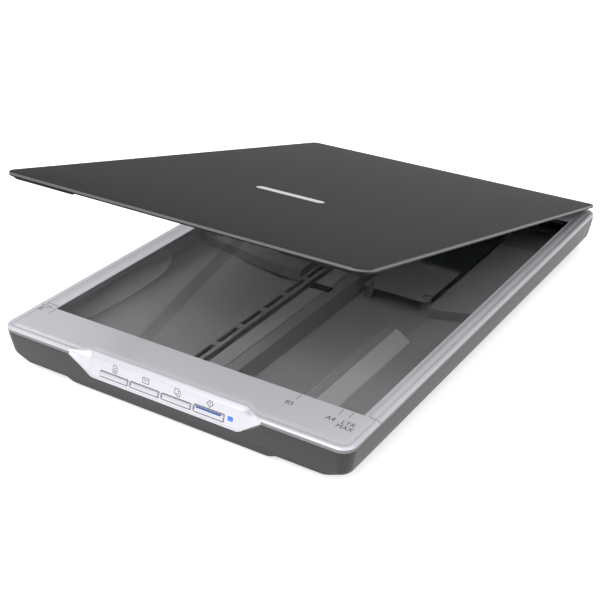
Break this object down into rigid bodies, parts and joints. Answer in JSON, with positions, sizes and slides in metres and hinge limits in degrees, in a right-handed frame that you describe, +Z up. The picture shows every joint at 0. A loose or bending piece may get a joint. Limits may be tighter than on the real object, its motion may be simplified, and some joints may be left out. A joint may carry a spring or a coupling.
{
  "type": "flatbed scanner",
  "caption": "Slim flatbed document scanner with a thin hinged lid standing partly open, a glass bed, front push buttons and a belt-driven sensor bar inside.",
  "frame": {"origin": "on the table under the middle of the casing", "axes": "+X to the right as the user faces the buttons, +Y to the rear where the lid is hinged, +Z up"},
  "size_m": [0.249, 0.364, 0.1257],
  "materials": {
    "bottom_casing": "fine textured charcoal moulding",
    "top_frame": "satin pale silver paint on a moulding",
    "front_bezel": "satin pale lavender-silver paint on a moulding",
    "document_glass": "clear float glass with a faint green edge",
    "calibration_strip": "white, matt",
    "guide_rail": "charcoal moulding",
    "main_board": "green solder resist",
    "board_shield": "charcoal moulding",
    "usb_socket": "plated sheet metal",
    "front_panel_ribbon": "pale ribbon with fine lengthwise conductors",
    "carriage_ribbon": "pale ribbon with fine lengthwise conductors",
    "ribbon_clamp": "black moulding",
    "button_board": "green solder resist",
    "led_lens": "clear blue moulding",
    "drive_belt": "black, matt",
    "motor_case": "zinc-plated",
    "motor_bracket": "zinc-plated sheet",
    "idler_bracket": "zinc-plated sheet",
    "tension_spring": "spring wire",
    "lid_cover": "smooth black with a soft gloss",
    "lid_inner_panel": "charcoal moulding",
    "lid_foam_pad": "open-cell foam",
    "lid_white_sheet": "white film, matt",
    "carriage_tray": "black moulding",
    "sensor_housing": "black moulding",
    "rod_lens_strip": "clear",
    "belt_clamp": "black moulding",
    "motor_pinion": "machined steel",
    "drive_gear": "natural acetal",
    "idler_pulley": "natural acetal",
    "tact_switch_1": "black moulding",
    "tact_switch_2": "black moulding",
    "tact_switch_3": "black moulding",
    "tact_switch_4": "black moulding",
    "shield_screw_left": "zinc-plated",
    "shield_screw_right": "zinc-plated",
    "bracket_screw_left": "zinc-plated",
    "bracket_screw_right": "zinc-plated",
    "foot_front_left": "matt",
    "foot_front_right": "matt",
    "foot_rear_left": "matt",
    "foot_rear_right": "matt",
    "casing_screw_front_left": "zinc-plated",
    "casing_screw_front_right": "zinc-plated",
    "casing_screw_rear_left": "zinc-plated",
    "casing_screw_rear_right": "zinc-plated",
    "hinge_leg_left": "charcoal moulding",
    "hinge_leg_right": "charcoal moulding",
    "hinge_pin_left": "ground steel",
    "hinge_pin_right": "ground steel",
    "hinge_bracket_left": "charcoal moulding",
    "hinge_bracket_right": "charcoal moulding",
    "glass_spacer_left": "natural acetal",
    "glass_spacer_right": "natural acetal",
    "lift_spring_left": "spring wire",
    "lift_spring_right": "spring wire",
    "pdf_button": "bright silver paint on a moulding",
    "send_button": "bright silver paint on a moulding",
    "copy_button": "bright silver paint on a moulding",
    "start_button": "bright silver paint on a moulding"
  },
  "bodies": {
    "base": {"bottom_casing": "bottom_casing", "top_frame": "top_frame", "front_bezel": "front_bezel", "document_glass": "document_glass", "calibration_strip": "calibration_strip", "guide_rail": "guide_rail", "main_board": "main_board", "board_shield": "board_shield", "usb_socket": "usb_socket", "front_panel_ribbon": "front_panel_ribbon", "carriage_ribbon": "carriage_ribbon", "ribbon_clamp": "ribbon_clamp", "button_board": "button_board", "led_lens": "led_lens", "drive_belt": "drive_belt", "motor_case": "motor_case", "motor_bracket": "motor_bracket", "idler_bracket": "idler_bracket", "tension_spring": "tension_spring", "tact_switch_1": "tact_switch_1", "tact_switch_2": "tact_switch_2", "tact_switch_3": "tact_switch_3", "tact_switch_4": "tact_switch_4", "shield_screw_left": "shield_screw_left", "shield_screw_right": "shield_screw_right", "bracket_screw_left": "bracket_screw_left", "bracket_screw_right": "bracket_screw_right", "foot_front_left": "foot_front_left", "foot_front_right": "foot_front_right", "foot_rear_left": "foot_rear_left", "foot_rear_right": "foot_rear_right", "casing_screw_front_left": "casing_screw_front_left", "casing_screw_front_right": "casing_screw_front_right", "casing_screw_rear_left": "casing_screw_rear_left", "casing_screw_rear_right": "casing_screw_rear_right"},
    "lid_carrier": {"hinge_leg_left": "hinge_leg_left", "hinge_leg_right": "hinge_leg_right", "hinge_pin_left": "hinge_pin_left", "hinge_pin_right": "hinge_pin_right"},
    "lid": {"lid_cover": "lid_cover", "lid_inner_panel": "lid_inner_panel", "lid_foam_pad": "lid_foam_pad", "lid_white_sheet": "lid_white_sheet", "hinge_bracket_left": "hinge_bracket_left", "hinge_bracket_right": "hinge_bracket_right"},
    "carriage": {"carriage_tray": "carriage_tray", "sensor_housing": "sensor_housing", "rod_lens_strip": "rod_lens_strip", "glass_spacer_left": "glass_spacer_left", "glass_spacer_right": "glass_spacer_right", "lift_spring_left": "lift_spring_left", "lift_spring_right": "lift_spring_right", "belt_clamp": "belt_clamp"},
    "drive": {"drive_gear": "drive_gear"},
    "idler": {"idler_pulley": "idler_pulley"},
    "pinion": {"motor_pinion": "motor_pinion"},
    "pdf_button_body": {"pdf_button": "pdf_button"},
    "send_button_body": {"send_button": "send_button"},
    "copy_button_body": {"copy_button": "copy_button"},
    "start_button_body": {"start_button": "start_button"}
  },
  "joints": [
    {"name": "lid_lift", "type": "slide", "parent": "base", "child": "lid_carrier", "axis": [0, 0, 1], "range_m": [0, 0.015]},
    {"name": "lid_hinge", "type": "hinge", "parent": "lid_carrier", "child": "lid", "pos_m": [0, 0.18, 0.0297], "axis": [-1, 0, 0], "range_deg": [-14.85, 70.15]},
    {"name": "carriage_slide", "type": "slide", "parent": "base", "child": "carriage", "axis": [0, 1, 0], "range_m": [-0.3, 0], "deforming": ["carriage_ribbon"]},
    {"name": "drive_spin", "type": "hinge", "parent": "base", "child": "drive", "pos_m": [0, 0.16, 0.0075], "axis": [0, 0, 1], "range_deg": [0, 2645.42]},
    {"name": "idler_spin", "type": "hinge", "parent": "base", "child": "idler", "pos_m": [0, -0.156, 0.0105], "axis": [0, 0, 1], "range_deg": [0, 2645.42]},
    {"name": "pinion_spin", "type": "hinge", "parent": "base", "child": "pinion", "pos_m": [-0.01932, 0.16, 0.0075], "axis": [0, 0, 1], "range_deg": [-7936.26, 0]},
    {"name": "pdf_button_press", "type": "slide", "parent": "base", "child": "pdf_button_body", "axis": [0, 0.951, -0.3093], "range_m": [0, 0.0006], "stiffness_N_per_m": 900, "springref_m": -0.0004},
    {"name": "send_button_press", "type": "slide", "parent": "base", "child": "send_button_body", "axis": [0, 0.951, -0.3093], "range_m": [0, 0.0006], "stiffness_N_per_m": 900, "springref_m": -0.0004},
    {"name": "copy_button_press", "type": "slide", "parent": "base", "child": "copy_button_body", "axis": [0, 0.951, -0.3093], "range_m": [0, 0.0006], "stiffness_N_per_m": 900, "springref_m": -0.0004},
    {"name": "start_button_press", "type": "slide", "parent": "base", "child": "start_button_body", "axis": [0, 0.951, -0.3093], "range_m": [0, 0.0006], "stiffness_N_per_m": 900, "springref_m": -0.0004}
  ],
  "couplings": [
    {"joint": "drive_spin", "follows": "carriage_slide", "rad_per_m": -153.85},
    {"joint": "idler_spin", "follows": "carriage_slide", "rad_per_m": -153.85},
    {"joint": "pinion_spin", "follows": "carriage_slide", "rad_per_m": 461.54}
  ]
}
